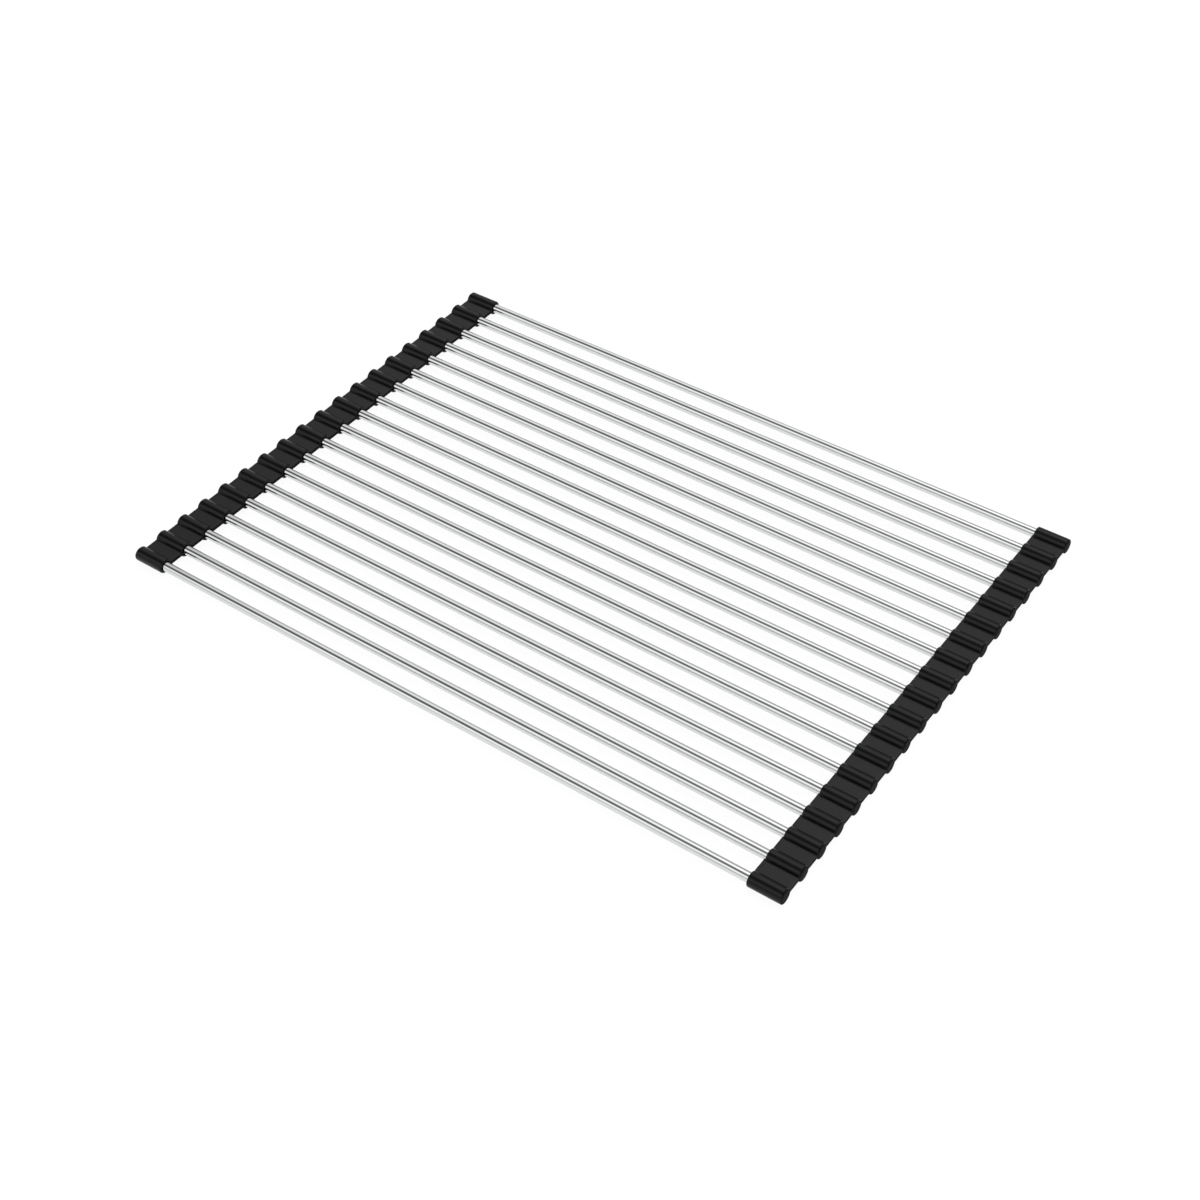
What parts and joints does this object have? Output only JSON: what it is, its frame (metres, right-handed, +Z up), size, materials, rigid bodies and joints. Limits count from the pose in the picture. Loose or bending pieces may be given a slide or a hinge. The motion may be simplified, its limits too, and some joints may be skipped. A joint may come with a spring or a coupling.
{
  "type": "roll up dish drying rack",
  "caption": "Roll-up dish drying rack: a row of steel tubes held at both ends by black silicone strips, which fold between the tubes so that it rolls up.",
  "frame": {"origin": "middle of the rack's underside, on the surface that it lies on", "axes": "+X along the rods, +Y from the last link to the first, +Z up"},
  "size_m": [0.5202, 0.3798, 0.0105],
  "materials": {
    "steel": "bright polished stainless steel tube",
    "silicone": "satin black moulded silicone"
  },
  "bodies": {
    "link_01": {"rod_01": "steel", "left_sleeve_01": "silicone", "right_sleeve_01": "silicone"},
    "link_02": {"rod_02": "steel", "left_sleeve_02": "silicone", "right_sleeve_02": "silicone"},
    "link_03": {"rod_03": "steel", "left_sleeve_03": "silicone", "right_sleeve_03": "silicone"},
    "link_04": {"rod_04": "steel", "left_sleeve_04": "silicone", "right_sleeve_04": "silicone"},
    "link_05": {"rod_05": "steel", "left_sleeve_05": "silicone", "right_sleeve_05": "silicone"},
    "link_06": {"rod_06": "steel", "left_sleeve_06": "silicone", "right_sleeve_06": "silicone"},
    "link_07": {"rod_07": "steel", "left_sleeve_07": "silicone", "right_sleeve_07": "silicone"},
    "link_08": {"rod_08": "steel", "left_sleeve_08": "silicone", "right_sleeve_08": "silicone"},
    "link_09": {"rod_09": "steel", "left_sleeve_09": "silicone", "right_sleeve_09": "silicone"},
    "link_10": {"rod_10": "steel", "left_sleeve_10": "silicone", "right_sleeve_10": "silicone"},
    "link_11": {"rod_11": "steel", "left_sleeve_11": "silicone", "right_sleeve_11": "silicone"},
    "link_12": {"rod_12": "steel", "left_sleeve_12": "silicone", "right_sleeve_12": "silicone"},
    "link_13": {"rod_13": "steel", "left_sleeve_13": "silicone", "right_sleeve_13": "silicone"},
    "link_14": {"rod_14": "steel", "left_sleeve_14": "silicone", "right_sleeve_14": "silicone"},
    "link_15": {"rod_15": "steel", "left_sleeve_15": "silicone", "right_sleeve_15": "silicone"},
    "link_16": {"rod_16": "steel", "left_sleeve_16": "silicone", "right_sleeve_16": "silicone"},
    "link_17": {"rod_17": "steel", "left_sleeve_17": "silicone", "right_sleeve_17": "silicone"},
    "link_18": {"rod_18": "steel", "left_sleeve_18": "silicone", "right_sleeve_18": "silicone"},
    "link_19": {"rod_19": "steel", "left_sleeve_19": "silicone", "right_sleeve_19": "silicone"}
  },
  "joints": [
    {"name": "web_01", "type": "hinge", "parent": "link_01", "child": "link_02", "pos_m": [0, 0.17425, 0.00513], "axis": [-1, 0, 0], "range_deg": [-27.9, 27.9], "stiffness_Nm_per_rad": 0.02},
    {"name": "web_02", "type": "hinge", "parent": "link_02", "child": "link_03", "pos_m": [0, 0.15375, 0.00513], "axis": [-1, 0, 0], "range_deg": [-28.5, 28.5], "stiffness_Nm_per_rad": 0.02},
    {"name": "web_03", "type": "hinge", "parent": "link_03", "child": "link_04", "pos_m": [0, 0.13325, 0.00513], "axis": [-1, 0, 0], "range_deg": [-29.3, 29.3], "stiffness_Nm_per_rad": 0.02},
    {"name": "web_04", "type": "hinge", "parent": "link_04", "child": "link_05", "pos_m": [0, 0.11275, 0.00513], "axis": [-1, 0, 0], "range_deg": [-30, 30], "stiffness_Nm_per_rad": 0.02},
    {"name": "web_05", "type": "hinge", "parent": "link_05", "child": "link_06", "pos_m": [0, 0.09225, 0.00513], "axis": [-1, 0, 0], "range_deg": [-30.9, 30.9], "stiffness_Nm_per_rad": 0.02},
    {"name": "web_06", "type": "hinge", "parent": "link_06", "child": "link_07", "pos_m": [0, 0.07175, 0.00513], "axis": [-1, 0, 0], "range_deg": [-31.8, 31.8], "stiffness_Nm_per_rad": 0.02},
    {"name": "web_07", "type": "hinge", "parent": "link_07", "child": "link_08", "pos_m": [0, 0.05125, 0.00513], "axis": [-1, 0, 0], "range_deg": [-32.9, 32.9], "stiffness_Nm_per_rad": 0.02},
    {"name": "web_08", "type": "hinge", "parent": "link_08", "child": "link_09", "pos_m": [0, 0.03075, 0.00513], "axis": [-1, 0, 0], "range_deg": [-34, 34], "stiffness_Nm_per_rad": 0.02},
    {"name": "web_09", "type": "hinge", "parent": "link_09", "child": "link_10", "pos_m": [0, 0.01025, 0.00513], "axis": [-1, 0, 0], "range_deg": [-35.3, 35.3], "stiffness_Nm_per_rad": 0.02},
    {"name": "web_10", "type": "hinge", "parent": "link_10", "child": "link_11", "pos_m": [0, -0.01025, 0.00513], "axis": [-1, 0, 0], "range_deg": [-36.7, 36.7], "stiffness_Nm_per_rad": 0.02},
    {"name": "web_11", "type": "hinge", "parent": "link_11", "child": "link_12", "pos_m": [0, -0.03075, 0.00513], "axis": [-1, 0, 0], "range_deg": [-38.3, 38.3], "stiffness_Nm_per_rad": 0.02},
    {"name": "web_12", "type": "hinge", "parent": "link_12", "child": "link_13", "pos_m": [0, -0.05125, 0.00513], "axis": [-1, 0, 0], "range_deg": [-40.1, 40.1], "stiffness_Nm_per_rad": 0.02},
    {"name": "web_13", "type": "hinge", "parent": "link_13", "child": "link_14", "pos_m": [0, -0.07175, 0.00513], "axis": [-1, 0, 0], "range_deg": [-42.2, 42.2], "stiffness_Nm_per_rad": 0.02},
    {"name": "web_14", "type": "hinge", "parent": "link_14", "child": "link_15", "pos_m": [0, -0.09225, 0.00513], "axis": [-1, 0, 0], "range_deg": [-44.6, 44.6], "stiffness_Nm_per_rad": 0.02},
    {"name": "web_15", "type": "hinge", "parent": "link_15", "child": "link_16", "pos_m": [0, -0.11275, 0.00513], "axis": [-1, 0, 0], "range_deg": [-47.6, 47.6], "stiffness_Nm_per_rad": 0.02},
    {"name": "web_16", "type": "hinge", "parent": "link_16", "child": "link_17", "pos_m": [0, -0.13325, 0.00513], "axis": [-1, 0, 0], "range_deg": [-51.3, 51.3], "stiffness_Nm_per_rad": 0.02},
    {"name": "web_17", "type": "hinge", "parent": "link_17", "child": "link_18", "pos_m": [0, -0.15375, 0.00513], "axis": [-1, 0, 0], "range_deg": [-55.9, 55.9], "stiffness_Nm_per_rad": 0.02},
    {"name": "web_18", "type": "hinge", "parent": "link_18", "child": "link_19", "pos_m": [0, -0.17425, 0.00513], "axis": [-1, 0, 0], "range_deg": [-62.2, 62.2], "stiffness_Nm_per_rad": 0.02}
  ]
}
